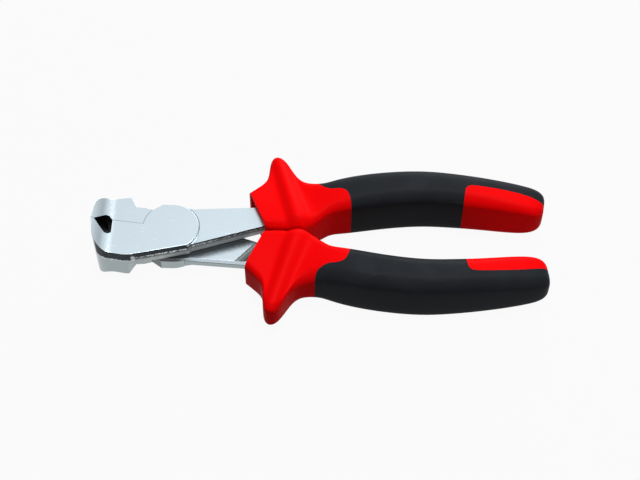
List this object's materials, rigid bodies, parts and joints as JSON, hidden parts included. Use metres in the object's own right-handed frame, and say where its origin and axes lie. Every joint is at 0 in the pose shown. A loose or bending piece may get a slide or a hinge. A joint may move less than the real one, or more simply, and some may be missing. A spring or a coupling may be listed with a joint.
{
  "type": "end cutting nippers",
  "caption": "Lap-joint steel end cutters with flared jaws across the tool's end, a flush rivet pivot, and red moulded grips with thumb guards and black soft covers.",
  "frame": {"origin": "middle of the bounding box in plan, at the level of the flat surface the tool lies on", "axes": "+X from the jaws to the handle ends, +Y across the tool towards the upper grip, +Z along the pivot, out of the front lever's face"},
  "size_m": [0.1602, 0.0658, 0.0226],
  "materials": {
    "lever_steel": "fine ground faces, forged sides",
    "rivet_steel": "ground flush",
    "grip_red": "moulded gloss",
    "grip_black": "satin soft moulding"
  },
  "bodies": {
    "front half": {"front_lever": "lever_steel", "pivot_rivet": "rivet_steel", "upper_grip_core": "grip_red", "upper_grip_cover": "grip_black"},
    "back half": {"back_lever": "lever_steel", "lower_grip_core": "grip_red", "lower_grip_cover": "grip_black"}
  },
  "joints": [
    {"name": "jaw_pivot", "type": "hinge", "parent": "front half", "child": "back half", "pos_m": [-0.052, 0, 0.0113], "axis": [0, 0, -1], "range_deg": [0, 25]}
  ]
}
